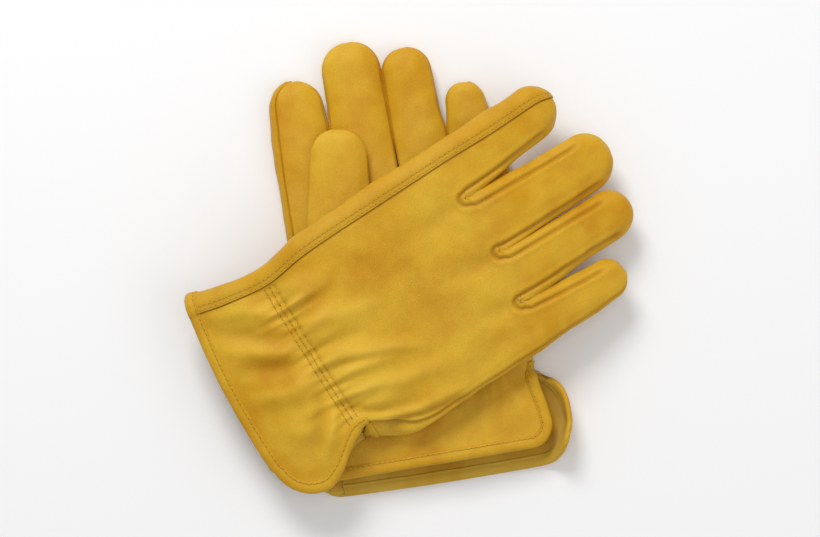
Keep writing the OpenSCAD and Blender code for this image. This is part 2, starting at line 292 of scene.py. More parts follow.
class Grid:
    """Rows of points along a glove and columns round it, in the glove frame until laid."""

    def __init__(self, x, y, z):
        self.p = np.stack(np.broadcast_arrays(x, y, z), -1).astype(float)
        self.rest = self.p.copy()
        self.n = np.zeros_like(self.p)
        # painted shade and highlight: above zero darker in creases, grooves, seams and on the cuff; below
        # zero paler on ridges, partly wear
        self.painted_shading_and_wear = np.zeros(self.p.shape[:2])
        self.hidden = np.zeros(self.p.shape[:2])     # 1 where two fingers' walls meet
        self.bend = lambda q: q

    def at(self, r, c):
        """Position, normal and place on the pattern between points: r and c are fractions of a step."""
        r, c = np.atleast_1d(r).astype(float), np.atleast_1d(c).astype(float)
        i = np.clip(r.astype(int), 0, self.p.shape[0] - 2)
        j = np.clip(c.astype(int), 0, self.p.shape[1] - 2)
        u, v = (r - i)[:, None], (c - j)[:, None]
        out = []
        for a in (self.p, self.n, self.rest):
            here = a[i, j] * (1 - u) + a[i + 1, j] * u
            beside = a[i, j + 1] * (1 - u) + a[i + 1, j + 1] * u
            out.append(here * (1 - v) + beside * v)
        out[1] /= np.maximum(np.linalg.norm(out[1], axis=1, keepdims=True), 1e-9)
        return out

    def find(self, x, y, cols):
        """Fractions of a step for places on the pattern, searched within a range of columns."""
        c0, c1 = cols
        quarters = np.array([0, 0.25, 0.5, 0.75])
        fx, fy = np.repeat(quarters, 4), np.tile(quarters, 4)
        part = self.rest[:, c0:c1 + 1, :2]
        a, b, c, d = part[:-1, :-1], part[1:, :-1], part[:-1, 1:], part[1:, 1:]
        u, v = fx[:, None, None, None], fy[:, None, None, None]
        fine = (a * (1 - u) + b * u) * (1 - v) + (c * (1 - u) + d * u) * v
        found = []
        for px, py in zip(x, y):
            away = (fine[..., 0] - px) ** 2 + (fine[..., 1] - py) ** 2
            k, i, j = np.unravel_index(np.argmin(away), fine.shape[:3])
            found.append((i + fx[k], c0 + j + fy[k]))
        rows, columns = np.array(found).T
        for _ in range(6):
            p, e = self.at(rows, columns)[2], 0.25
            px = (self.at(rows + e, columns)[2] - p)[:, :2] / e
            py = (self.at(rows, columns + e)[2] - p)[:, :2] / e
            off = np.stack([x, y], 1) - p[:, :2]
            det = px[:, 0] * py[:, 1] - px[:, 1] * py[:, 0]
            det = np.where(np.abs(det) < 1e-6, 1e-6, det)
            dr = (off[:, 0] * py[:, 1] - off[:, 1] * py[:, 0]) / det
            dc = (px[:, 0] * off[:, 1] - px[:, 1] * off[:, 0]) / det
            rows = np.clip(rows + np.clip(dr, -0.5, 0.5), 0, self.rest.shape[0] - 1.001)
            columns = np.clip(columns + np.clip(dc, -0.5, 0.5), c0, c1 - 0.001)
        return np.array([rows, columns])


def by_kind(kinds):
    """The columns of each stretch of a grid: its faces and its walls."""
    cols = {}
    for j, (kind, _) in enumerate(kinds):
        cols.setdefault(kind, []).append(j)
    return cols


def vent_open(x):
    """1 where the side vent is open, and 0 past its top."""
    return ramp((VENT_X + VENT_CLOSE - x) / 9)


def hand_grid(side):
    """The hand, open along the vent: from the little-finger seam under the palm, round to the back."""
    cuff_t = spaced(1, 0.14, 0.012, 0.034, (True, False))
    near_vent = VENT_X + np.array([0, 0.8, 1.6, 2.6, 3.8, 5.0, 6.2])
    t_rows = [(0, t) for t in cuff_t[:-1]]
    t_rows += [(1, (x - VENT_X) / (CROTCH_X - VENT_X)) for x in near_vent]
    start = t_rows[-1][1]
    t_rows += [(1, start + (1 - start) * t) for t in spaced(1, 0.08, 0.008, 0.0145, (False, True))[1:]]
    low = [a for a in WALL_LITTLE if a <= LIP_A]
    high = [a for a in WALL_LITTLE if a >= LIP_A]
    kinds = [("low", a) for a in low]
    kinds += [("bottom", y) for y in HAND_Y[::-1]]
    kinds += [("strip", a) for a in WALL_STRIP[::-1]]
    kinds += [("top", y) for y in HAND_Y]
    kinds += [("high", a) for a in high]
    n = len(kinds)
    x = np.zeros((len(t_rows), n))
    y, z = x.copy(), x.copy()
    span = PALM_HALF - EDGE_R
    knuckle_y = np.array([{"low": -span, "high": -span, "strip": span}.get(k, v) for k, v in kinds])
    crotch_line = LITTLE_CROTCH_X + (CROTCH_X - LITTLE_CROTCH_X) * ramp((knuckle_y - CROTCHES[2]) / 14)
    from_face = {"high": lambda v: (90 - v) / (90 - LIP_A), "low": lambda v: (v + 90) / (LIP_A + 90)}
    outward = np.array([from_face[k](v) if k in from_face else 0 for k, v in kinds])
    near_edge = (knuckle_y + span) + EDGE_R * (1 - outward)       # distance in from the little-finger side
    inward = np.clip(CORNER_R[side] - near_edge, 0, CORNER_R[side])
    is_top = np.array([k in ("top", "high") for k, _ in kinds])
    is_strip = np.array([k == "strip" for k, _ in kinds])
    angles = np.array([v if k == "strip" else 0 for k, v in kinds])
    top_share = np.where(is_strip, (angles + 90) / 180, is_top)
    hem = hem_x(side, "top", knuckle_y) * top_share + hem_x(side, "bottom", knuckle_y) * (1 - top_share)
    hem = hem + CORNER_R[side] - np.sqrt(CORNER_R[side] ** 2 - inward ** 2)
    for i, (part, t) in enumerate(t_rows):
        x[i] = hem + t * (VENT_X - hem) if part == 0 else VENT_X + t * (crotch_line - VENT_X)
    zc = HAND_T / 2
    for j, (kind, v) in enumerate(kinds):
        xs = x[:, j]
        h = half_thickness(xs)
        hi, lo = index_edge(xs) - EDGE_R, little_edge(side, xs) + EDGE_R
        if kind in ("top", "bottom"):
            y[:, j] = lo + (hi - lo) * (v + span) / (2 * span)
            z[:, j] = zc + h * (1 if kind == "top" else -1)
        elif kind == "strip":
            y[:, j] = hi + EDGE_R * math.cos(math.radians(v))
            z[:, j] = zc + h * math.sin(math.radians(v))
        else:
            is_open = vent_open(xs)
            flat_z = h * (1 if kind == "high" else -1)
            y[:, j] = lo - EDGE_R * (math.cos(math.radians(v)) * (1 - is_open) + outward[j] * is_open)
            z[:, j] = zc + h * math.sin(math.radians(v)) * (1 - is_open) + flat_z * is_open
    z = zc + (z - zc) * crown(y)
    g = Grid(x, y, z)
    if side == LEFT:
        spread_flap(g, is_top)
    else:
        fold_palm(g, kinds)
    g.kinds, g.rows = kinds, t_rows
    g.bend = droop if side == RIGHT else g.bend
    g.cols = by_kind(kinds)
    return g


def spread_flap(g, is_top):
    """The left back's corner at the vent spreads out and curls up beyond the palm."""
    x, y = g.rest[..., 0], g.rest[..., 1]
    free = np.sqrt(1 - (1 - np.clip((VENT_X - 4 - x) / 18, 0, 1)) ** 2)
    low_corner = 0.3 + 0.7 * ramp((x + 8) / 26)
    out = np.maximum(-FLAP_START - y, 0)
    along = FLAP_START + out + FLAP_SPREAD * (out / (PALM_HALF - FLAP_START)) ** 1.5
    turn = np.clip((along - FLAP_Y) / FLAP_R, 0, None)
    flat_y = -np.minimum(along, FLAP_Y) - FLAP_R * np.sin(turn)
    shift = (out > 0) * is_top * free
    g.p[..., 1] += (flat_y - y) * shift * low_corner
    g.p[..., 2] -= FLAP_R * (1 - np.cos(turn)) * shift * ramp((x + 16) / 20)


def fold_palm(g, kinds):
    """The right palm isn't drawn in by the elastic, so it folds out past the back's edge at the wrist."""
    x = g.rest[..., 0]
    angle = np.array([v if k == "low" else -90.0 for k, v in kinds])
    low = np.array([k == "low" for k, _ in kinds])
    inner = np.array([k == "bottom" and v < -20 for k, v in kinds])
    y_part = np.clip((-20 - g.rest[..., 1]) / 35, 0, 1) ** 2
    is_open = vent_open(x)
    closed = np.sin(np.pi / 2 * np.clip((LIP_A - angle) / 40, 0, 1))
    share = np.where(low, closed * (1 - is_open) + is_open, inner * y_part)
    out = np.exp(-((x - 56) / 19) ** 2)
    g.p[..., 1] -= PALM_FOLD * out * share
    g.p[..., 2] -= 1.5 * out * share * low


def crown(y, f_mid=None, f_half=None, share=None):
    """The hand and each finger are fullest in the middle."""
    whole = 1.07 - 0.2 * (y / PALM_HALF) ** 2
    if f_mid is None:
        return whole
    own = 1.05 - 0.16 * ((y - f_mid) / f_half) ** 2
    return whole * (1 - share) + own * share


def finger_grid(side, f, hand):
    """A finger from its crotches to its tip: bottom, index-side wall, top, other wall."""
    cx, cy = finger_centre(side, f)
    start_x = {3: LITTLE_CROTCH_X}.get(f, CROTCH_X)
    close = np.arange(0, 12.1, 0.6)
    body = start_x + np.concatenate([close, 12 + spaced(cx - start_x - 12, 0, 1, 1.5, (False, False))[1:]])
    tip_a = np.radians(np.linspace(0, 90, 17)[1:])
    u = FINGER_COLS[f]
    wall_hi = WALL_STRIP if f == 0 else WALL_INNER
    wall_lo = WALL_LITTLE if f == 3 else WALL_INNER
    kinds = [("bottom", v) for v in u[::-1]] + [("hi", a) for a in wall_hi[::-1]]
    kinds += [("top", v) for v in u] + [("lo", a) for a in wall_lo]
    rows = []
    for k in range(len(body) + len(tip_a)):
        a = tip_a[k - len(body)] if k >= len(body) else 0.0
        xb = body[k] if k < len(body) else cx + TIP_HALF[f] * math.sin(a)
        grow = xb - start_x
        spread = ramp(grow / 9) ** 0.7
        if k < len(body):
            hi = finger_side(side, f, 1, xb)
            lo = finger_side(side, f, -1, xb)
            outer = float(ramp(grow / 35))
            if f == 0:
                hi = index_edge(xb) * (1 - outer) + hi * outer
            else:
                hi = BOUNDS[f] * (1 - spread) + hi * spread
            if f == 3:
                lo = little_edge(side, xb) * (1 - outer) + lo * outer
            else:
                lo = BOUNDS[f + 1] * (1 - spread) + lo * spread
            h = float(half_thickness(xb))
        else:
            hi, lo = cy + TIP_HALF[f] * math.cos(a), cy - TIP_HALF[f] * math.cos(a)
            h = float(half_thickness(xb)) * math.sqrt(max(1 - math.sin(a) ** 3.2, 0))
        w = (hi - lo) / 2
        r_hi = min(EDGE_R, 0.55 * w) if f == 0 else 0.72 * w * spread
        r_lo = min(EDGE_R, 0.6 * w) if f == 3 else 0.72 * w * spread
        share = float(ramp(grow / 25))
        fill = {"hi": spread * web(side, f, 1, xb, grow) if f else 0,
                "lo": spread * web(side, f, -1, xb, grow) if f < 3 else 0}
        high = float(ramp(1 - grow / WEB_RAISE[side]))
        flat = hi - r_hi - lo - r_lo
        near = min(LAP_REACH, 0.5 * flat) if f == 0 else 0
        pts = []
        for kind, v in kinds:
            if kind in ("top", "bottom"):
                if f == 0:
                    d = v * INDEX_COLS[-1]
                    past = max(d - LAP_REACH, 0) / (INDEX_COLS[-1] - LAP_REACH)
                    yy = hi - r_hi - min(d, LAP_REACH) / LAP_REACH * near - past * (flat - near)
                else:
                    yy = hi - r_hi - v * flat
                zz = HAND_T / 2 + h * (1 if kind == "top" else -1)
            else:
                c, s = math.cos(math.radians(v)), math.sin(math.radians(v))
                if kind == "hi":
                    yy = hi - r_hi + (r_hi + fill["hi"]) * c
                else:
                    yy = lo + r_lo - (r_lo + fill["lo"]) * c
                if (kind, f) not in (("hi", 0), ("lo", 3)):
                    s = s * (1 - high) + math.copysign(1 - 0.16 * (1 - abs(v) / 90), v) * high
                zz = HAND_T / 2 + h * s
            along = crotch_x_at(yy) - start_x
            zz = HAND_T / 2 + (zz - HAND_T / 2) * crown(yy, (hi + lo) / 2, max(w, 1), share)
            pts.append((xb + along * (1 - ramp(grow / 20)), yy, zz))
        rows.append(pts)
    p = np.array(rows)
    g = Grid(p[..., 0], p[..., 1], p[..., 2])
    g.kinds = kinds
    g.cols = by_kind(kinds)
    # the first row is the hand's last, point for point
    top = hand.cols["top"][FIRST[f]:FIRST[f + 1] + 1]
    bottom = hand.cols["bottom"][::-1][FIRST[f]:FIRST[f + 1] + 1][::-1]
    pairs = list(zip(g.cols["top"], top)) + list(zip(g.cols["bottom"], bottom))
    if f == 0:
        pairs += list(zip(g.cols["hi"], hand.cols["strip"]))
    if f == 3:
        pairs += list(zip(g.cols["lo"], hand.cols["high"] + hand.cols["low"][1:]))
    for mine, hands in pairs:
        g.p[0, mine] = hand.p[-1, hands]
    g.rest = g.p.copy()
    walls = [k for k, end in (("hi", 0), ("lo", 3)) if f != end]
    hidden = [np.clip((30 - abs(v)) / 20, 0, 1) if k in walls else 0.0 for k, v in kinds]
    g.hidden = np.array([hidden] * len(rows))
    g.bend = lambda q: sloped(side, f, q)
    g.finger = f
    return g


def web(side, f, way, x, grow):
    """How far a finger's inner wall swells towards its neighbour."""
    other = f - way
    if x > min(finger_centre(side, f)[0], finger_centre(side, other)[0]) or not grow:
        return 0.0
    gap = way * (finger_side(side, other, -way, x) - finger_side(side, f, way, x))
    fill = float(ramp((WEB_LENGTH[side] - grow) / (0.7 * WEB_LENGTH[side])))
    fill *= float(ramp((min(finger_centre(side, f)[0], finger_centre(side, other)[0]) - x) / 16))
    return gap / 2 * fill


def crotch_x_at(y):
    return LITTLE_CROTCH_X + (CROTCH_X - LITTLE_CROTCH_X) * float(ramp((y - CROTCHES[2]) / 14))


def thumb_grid(side):
    """A flat empty thumb along its own line, its seam round the edge."""
    a, b = np.array(THUMB_ROOT), np.array(THUMB_TIP[side])
    length = np.linalg.norm(b - a)
    d = (b - a) / length
    out = np.array([-d[1], d[0]])
    root = np.radians(np.linspace(90, 0, 12)[:-1])
    body = np.linspace(0, length, 50)
    tips = np.radians(np.linspace(0, 90, 16)[1:])
    angles = [90, 78, 66, 54, 43, 34, 26] + round_a_seam(THUMB_SEAM_A, 1.8)[1:-1]
    angles += [-4, -16, -30, -44, -58, -72, -90]
    flat = np.linspace(0, 1, 13)
    kinds = [("front", v) for v in flat[::-1]] + [("hi", v) for v in angles[::-1][1:-1]]
    kinds += [("rear", v) for v in flat] + [("lo", v) for v in angles[1:-1]]
    rows = []
    for s, t in ([(-0.8 * THUMB_ROOT_R * math.sin(t), t) for t in root] + [(s, 0.0) for s in body]
                 + [(length + THUMB_TIP_R * math.sin(t), t) for t in tips]):
        w = THUMB_ROOT_R + (THUMB_TIP_R - THUMB_ROOT_R) * min(max(s / length, 0), 1)
        h = THUMB_HALF_T * (1 + 0.1 * math.sin(s * 0.09)) * (1 - 0.25 * math.exp(-max(s, 0) / 18))
        w *= math.cos(t)
        h *= math.sqrt(max(1 - math.sin(t) ** 3, 0))
        r = 0.5 * w
        centre = a + d * s
        pts = []
        for kind, v in kinds:
            if kind in ("front", "rear"):
                o, zz = (w - r) * (1 - 2 * v), h * (1 if kind == "rear" else -1)
            else:
                c, sn = math.cos(math.radians(v)), math.sin(math.radians(v))
                o = (w - r + r * c) * (1 if kind == "hi" else -1)
                zz = h * sn
            zz *= 1.06 - 0.2 * (o / max(w, 1)) ** 2
            q = centre + out * o
            pts.append((q[0], q[1], THUMB_Z + zz))
        rows.append(pts)
    p = np.array(rows)
    g = Grid(p[..., 0], p[..., 1], p[..., 2])
    g.kinds = kinds
    g.cols = by_kind(kinds)
    return g


# ---- relief: seams, puckers, folds and creases ----

def to_line(x, y, pts):
    """Distance of each place from a line of points, and how far along it the nearest point is."""
    best, where = np.full(np.shape(x), 1e9), np.zeros(np.shape(x))
    n = len(pts) - 1
    for k in range(n):
        ax, ay = pts[k]
        dx, dy = pts[k + 1][0] - ax, pts[k + 1][1] - ay
        t = np.clip(((x - ax) * dx + (y - ay) * dy) / (dx * dx + dy * dy), 0, 1)
        d = np.hypot(x - ax - t * dx, y - ay - t * dy)
        near = d < best
        best[near], where[near] = d[near], (k + t[near]) / n
    return best, where


# Folds as (points in the glove frame, height, width): below zero is a crease, above is a ridge
BACK_FOLDS = [
    ([(43, -3), (60, -5), (84, -15), (98, -24)], 2.2, 4),
    ([(43, 4), (58, 4), (78, 0)], -1.6, 4),
    ([(44, -12), (61, -14), (80, -20)], 1.5, 3.5),
    ([(43, -8), (58, -10), (74, -15)], -1.4, 2.5),
    ([(42, -27), (52, -38), (66, -46), (80, -50)], -2.6, 3.5),
    ([(44, -20), (58, -26), (81, -34), (108, -40)], 1.9, 5),
    ([(45, 32), (60, 37), (74, 38)], 1.8, 4),
    ([(45, 24), (60, 27), (78, 24)], -1.5, 4),
    ([(45, 16), (62, 18), (90, 10)], 1.7, 5),
    ([(6, 42), (24, 28), (42, 15)], -2.4, 5.5),
    ([(6, 30), (22, 20), (41, 9)], 1.9, 5),
    ([(7, 16), (24, 9), (41, 2)], -2.4, 5),
    ([(4, 2), (21, -6), (40, -10)], 2.0, 5.5),
    ([(38, -14), (30, -26), (14, -42)], -3.2, 4.5),
    ([(39, -28), (31, -36), (18, -48)], 2.2, 4),
    ([(4, -20), (16, -26), (24, -32)], 1.2, 6),
    ([(40, 34), (26, 44), (10, 50)], 1.6, 4),
    ([(46, -44), (60, -51), (80, -57), (100, -60)], -2.6, 2.2),
    ([(45, -36), (59, -45), (78, -52), (106, -56)], 1.8, 3),
    ([(162, 30), (148, 29), (130, 26)], -1.3, 6),
    ([(161, -4), (147, -4), (128, -2)], -1.3, 6),
    ([(156, -33), (143, -31), (126, -27)], -1.3, 6),
    ([(100, -58), (120, -50), (142, -44)], -1.0, 6),
    ([(120, 40), (112, 10), (116, -20)], -0.8, 10),
]
PALM_FOLDS = [
    ([(60, -40), (74, -30), (92, -22), (112, -20)], -1.2, 5),
    ([(58, -30), (72, -14), (84, 6)], 0.8, 7),
    ([(140, 50), (136, 20), (140, -10), (136, -40)], -0.8, 6),
    ([(96, 12), (112, 4), (132, 6), (150, 14)], -1.0, 5),
    ([(44, -30), (30, -22), (14, -6)], -1.0, 7),
    ([(42, 10), (26, 16), (8, 18)], 0.9, 8),
    ([(44, -40), (34, -46), (22, -50)], 1.4, 5),
    ([(162, 30), (150, 29), (138, 27)], -1.0, 5),
    ([(161, -4), (148, -4), (136, -3)], -1.0, 5),
    ([(156, -33), (145, -32), (134, -30)], -1.0, 5),
]


def puckers(side):
    """The elastic's gathers: short ridges that spread from the stitching towards cuff and hand."""
    draw = np.random.default_rng(7 + side)
    y, made = -40.0, []
    while y < 50:
        made.append((y, draw.uniform(1.2, 2.6), draw.uniform(10, 30), draw.uniform(8, 22),
                     draw.uniform(-0.2, 0.2), draw.uniform(1.4, 2.5)))
        y += draw.uniform(4.0, 7.0)
    return made


def fourchette_line(side, f):
    """The seam round one crotch, seen from above: up one finger, round the crotch, down the next."""
    cx = {2: LITTLE_CROTCH_X}.get(f, CROTCH_X)

    def leg(finger, way, inset):
        tip_x = finger_centre(side, finger)[0]
        xs = np.linspace(cx + 3, tip_x, 12)
        return [(x, finger_side(side, finger, way, x) - way * inset) for x in xs]

    half_turn = np.linspace(0, math.pi, 9)
    turn = [(cx - 3.6 * math.sin(a), CROTCHES[f] - 1 + 3.8 * math.cos(a)) for a in half_turn]
    return leg(f, -1, 2.8)[::-1] + turn + leg(f + 1, 1, 4.4)


def relief(side, g):
    """How far each point moves along its normal, without and with its seams; also notes its painted
    shading: darker in creases, grooves and on the cuff as painted shade, paler on ridges as a painted
    highlight that is partly wear.
    """
    x, y = g.rest[..., 0], g.rest[..., 1]
    up = np.clip(g.n[..., 2], 0, 1) ** 0.6
    down = np.clip(-g.n[..., 2], 0, 1) ** 0.6
    d = np.zeros(x.shape)
    flat = g.rest.reshape(-1, 3)
    seed = Vector((side * 57.0, 11.0, 3.0))
    waves = np.array([noise.noise(Vector(p) / 34 + seed) * 1.3 + noise.noise(Vector(p) / 13 + seed) * 0.55
                      + noise.noise(Vector(p) / 5.5 + seed) * 0.16 for p in flat])
    d += waves.reshape(x.shape)
    for lines, face in ((BACK_FOLDS, up), (PALM_FOLDS, down)):
        for pts, height, width in lines:
            away, where = to_line(x, y, pts)
            fade = np.sin(np.pi * np.clip(0.12 + 0.8 * where, 0, 1))
            shape = np.exp(-(away / width) ** 2) * fade
            d += height * shape * face
            # painted shade darkens the creases; a painted highlight, partly wear, pales the ridges
            tone = np.exp(-(away / (0.6 * width)) ** 2) * face * fade
            g.painted_shading_and_wear -= height * (0.13 if height < 0 else 0.2) * tone
    # the elastic's puckers and its three rows of stitching
    gather = np.zeros(x.shape)
    for at, height, to_hand, to_cuff, lean, width in puckers(side):
        dx = x - WRIST_X
        reach = np.where(dx > 0, to_hand, to_cuff)
        across = (y - at - lean * dx) / (width * (1 + np.abs(dx) / 30))
        gather += height * np.exp(-across ** 2) * np.exp(-(dx / reach) ** 2)
    quilt = np.exp(-((x - WRIST_X) / 9) ** 2)
    inside = ramp((index_edge(x) - STRIP_W - y) / 4) * ramp((y - little_edge(side, x) - 5) / 5)
    d += (gather - 2.0 * quilt) * (up + 0.35 * down) * inside
    # painted highlight, partly wear: the tops of the puckers are coloured paler
    g.painted_shading_and_wear -= 0.3 * np.clip(gather / 2, 0, 1) * up * inside
    d = d * (1 - g.hidden) + 0.05 * g.hidden
    soft = d.copy()
    for row in WRIST_ROWS:
        line = np.exp(-((x - WRIST_X - row) / 0.9) ** 2)
        d -= 0.6 * line * up * inside
        # painted shade in the grooves of the stitch rows
        g.painted_shading_and_wear += 0.2 * line * up * inside
    # the cuff is painted darker than the hand, as shade
    g.painted_shading_and_wear += 0.13 * ramp((WRIST_X - x) / 20)
    # fourchette seams on the back
    for f in range(3):
        away, where = to_line(x, y, fourchette_line(side, f))
        end = ramp(np.minimum(where, 1 - where) / 0.03 + 0.3)
        on = np.clip(2.2 * g.n[..., 2] - 0.1, 0, 1) * end
        d += (0.55 * np.exp(-((away - 2.4) / 1.4) ** 2) - 1.2 * np.exp(-(away / 0.9) ** 2)) * on
        # painted shade in the seam's groove
        g.painted_shading_and_wear += 0.5 * np.exp(-(away / 0.9) ** 2) * on
    return soft, d


def weld_index(grids):
    """A number for each point, which points in the same place share."""
    points = np.concatenate([g.rest.reshape(-1, 3) for g in grids])
    _, inverse = np.unique(np.round(points, 3), axis=0, return_inverse=True)
    return inverse.ravel()


def quads(g):
    r, c = g.p.shape[:2]
    i = np.arange(r * c).reshape(r, c)
    return np.stack([i[:-1, :-1], i[:-1, 1:], i[1:, 1:], i[1:, :-1]], -1).reshape(-1, 4)


def find_normals(grids, index, flip=False):
    """Smooth normals over grids that share edges, as if they were one skin."""
    total = np.zeros((index.max() + 1, 3))
    base = 0
    for g in grids:
        p = g.p.reshape(-1, 3)
        q = quads(g)
        face = np.cross(p[q[:, 2]] - p[q[:, 0]], p[q[:, 3]] - p[q[:, 1]])
        for k in range(4):
            np.add.at(total, index[base + q[:, k]], face)
        base += len(p)
    total /= np.maximum(np.linalg.norm(total, axis=1, keepdims=True), 1e-12)
    base = 0
    for g in grids:
        size = g.p.shape[0] * g.p.shape[1]
        g.n = total[index[base:base + size]].reshape(g.p.shape) * (-1 if flip else 1)
        base += size


def wrap(g):
    """Closes a finger's or a thumb's grid round its section."""
    g.hidden = np.concatenate([g.hidden, g.hidden[:, :1]], 1)
    g.p = np.concatenate([g.p, g.p[:, :1]], 1)
    g.rest = np.concatenate([g.rest, g.rest[:, :1]], 1)
    g.painted_shading_and_wear = np.zeros(g.p.shape[:2])
    return g


def seam_groove(g, col, depth=0.9, lips=0.45, rows=slice(None), tone=0.5):
    """A seam along one column: a groove with a swelling on either side, and painted shade in the groove."""
    n = g.p.shape[1]
    span = np.linalg.norm(np.diff(g.rest, axis=1), axis=2)
    dist = np.zeros(g.p.shape[:2]) + 99
    for k in range(-SEAM_REACH, SEAM_REACH + 1):
        j = col + k
        if 0 <= j < n:
            lo, hi = min(col, j), max(col, j)
            dist[:, j] = span[:, lo:hi].sum(1)
    d = np.zeros(g.p.shape[:2])
    d[rows] = (lips * np.exp(-((dist - 2.0) / 1.1) ** 2) - depth * np.exp(-(dist / 0.7) ** 2))[rows]
    # painted shade in the groove
    g.painted_shading_and_wear[rows] += (tone * np.exp(-(dist / 0.75) ** 2))[rows]
    return d


def column(g, kind, angle):
    """The column of a wall at an angle."""
    return min(g.cols[kind], key=lambda j: abs(g.kinds[j][1] - angle))


def make_glove(side):
    """The grids of one glove, moved by their relief, bent and laid, with smooth normals."""
    hand = hand_grid(side)
    fingers = [wrap(finger_grid(side, f, hand)) for f in range(4)]
    thumb = wrap(thumb_grid(side))
    hand.painted_shading_and_wear = np.zeros(hand.p.shape[:2])
    grids = [hand] + fingers
    index = weld_index(grids)
    find_normals(grids, index)
    moves = []
    for g in grids:
        g.soft, d = relief(side, g)
        moves.append(d)
    first_closed = next(i for i, (part, t) in enumerate(hand.rows)
                        if part == 1 and t * (CROTCH_X - VENT_X) > VENT_CLOSE)
    closed = slice(first_closed, None)
    lap = hand.cols["top"][LAP_COL]
    moves[0] += seam_groove(hand, hand.cols["high"][-1], 1.5, 0.9, closed)
    moves[0] += seam_groove(hand, hand.cols["low"][0], 1.5, 0.9, closed)
    moves[0] += seam_groove(hand, column(hand, "strip", UNDER_A), tone=0.25)
    for g, d in zip(fingers, moves[1:]):
        if g.finger == 0:
            d += seam_groove(g, column(g, "hi", UNDER_A), tone=0.25)
        else:
            d += seam_groove(g, column(g, "hi", PALM_A), 0.6, 0.3)
        if g.finger == 3:
            d += seam_groove(g, column(g, "lo", LIP_A), 1.3, 0.7)
        else:
            d += seam_groove(g, column(g, "lo", PALM_A), 0.6, 0.3)
    # the strip stands proud of the back, with a line of painted shade where it ends
    hand.raised = np.zeros(hand.p.shape[:2])
    hand.raised[:, column(hand, "strip", UNDER_A) + 1:lap + 1] = 1
    fingers[0].raised = np.zeros(fingers[0].p.shape[:2])
    f0_lap = fingers[0].cols["top"][LAP_COL]
    fingers[0].raised[:, column(fingers[0], "hi", UNDER_A) + 1:f0_lap + 1] = 1
    for g, d, lap_col in ((hand, moves[0], lap), (fingers[0], moves[1], f0_lap)):
        d += 0.75 * g.raised
        away = np.abs(np.arange(g.p.shape[1]) - lap_col - 0.5)[None, :]
        d -= 0.5 * (away == 0.5) * (1 - g.raised) + 0.25 * (away == 1.5) * (1 - g.raised)
        # painted shade along the strip's edge and beside it
        g.painted_shading_and_wear += 0.75 * (away <= 0.5) + 0.4 * (away == 1.5)
        # two shallow channels that the stitches lie in, painted darker as shade
        for col in stitch_columns(g, lap_col):
            d[:, col] -= 0.3
            g.painted_shading_and_wear[:, col] += 0.2
    for g, d in zip(grids, moves):
        g.move = d
    share_moves(grids, index)
    thumb_relief(thumb)
    for g in grids + [thumb]:
        base, sheet = g.p, np.minimum(g.move, g.soft) - LEATHER_T
        g.p = lay(side, g.bend(base + g.n * g.move[..., None]))
        g.inner = lay(side, g.bend(base + g.n * sheet[..., None]))
    find_normals(grids, index, flip=side == LEFT)
    find_normals([thumb], weld_index([thumb]), flip=side == LEFT)
    return hand, fingers, thumb


def stitch_columns(g, lap_col):
    """The strip's two rows of stitches: one by its edge, one further out."""
    wall = "strip" if "strip" in g.cols else "hi"
    return [lap_col - 3, column(g, wall, 80)]


def share_moves(grids, index):
    """Points that two grids share move alike, by the average of what each asks."""
    for field in ("move", "soft", "painted_shading_and_wear"):
        total, count, base = np.zeros(index.max() + 1), np.zeros(index.max() + 1), 0
        for g in grids:
            i = index[base:base + g.move.size]
            np.add.at(total, i, getattr(g, field).ravel())
            np.add.at(count, i, 1)
            base += g.move.size
        base = 0
        for g in grids:
            i = index[base:base + g.move.size]
            setattr(g, field, (total[i] / count[i]).reshape(g.move.shape))
            base += g.move.size


def thumb_relief(g):
    """Soft waves, and a seam along each side."""
    find_normals([g], weld_index([g]))
    flat = g.rest.reshape(-1, 3)
    waves = np.array([noise.noise(Vector(p) / 22) * 0.9 + noise.noise(Vector(p) / 7) * 0.3 for p in flat])
    g.soft = waves.reshape(g.p.shape[:2])
    g.move = g.soft.copy()
    for wall in ("hi", "lo"):
        g.move += seam_groove(g, column(g, wall, THUMB_SEAM_A), 0.9, 0.6)


# ---- from grids to pieces ----

MATERIALS = {}


def above_table(z):
    """Heights in metres, eased so that what rests on the table lies flat on it."""
    low, ease = 0.15 * MM, 0.5 * MM
    return low + ease * np.logaddexp(0, (z - low) / ease)


def new_object(name, verts, faces, normals, rest, painted_shading_and_wear, materials, face_material=None):
    """A mesh object from its used points, with its pattern place and its painted shade and highlight for
    the materials.
    """
    used = np.unique(np.array([v for q in faces for v in q]))
    renumber = np.zeros(len(verts), int)
    renumber[used] = np.arange(len(used))
    verts, rest, painted_shading_and_wear = verts[used].copy(), rest[used], painted_shading_and_wear[used]
    verts[:, 2] = above_table(verts[:, 2])
    mesh = bpy.data.meshes.new(name)
    mesh.from_pydata(verts.tolist(), [], [[int(renumber[v]) for v in q] for q in faces])
    for m in materials:
        mesh.materials.append(MATERIALS[m])
    if face_material is not None:
        mesh.polygons.foreach_set("material_index", face_material)
    mesh.polygons.foreach_set("use_smooth", np.ones(len(faces), bool))
    a = mesh.attributes.new("pattern", "FLOAT_VECTOR", "POINT")
    a.data.foreach_set("vector", (rest * MM).astype(np.float32).ravel())
    a = mesh.attributes.new("painted_shading_and_wear", "FLOAT", "POINT")
    a.data.foreach_set("value", painted_shading_and_wear.astype(np.float32))
    mesh.update()
    if normals is not None:
        mesh.normals_split_custom_set_from_vertices(normals[used].tolist())
    obj = bpy.data.objects.new(name, mesh)
    bpy.context.scene.collection.objects.link(obj)
    return obj


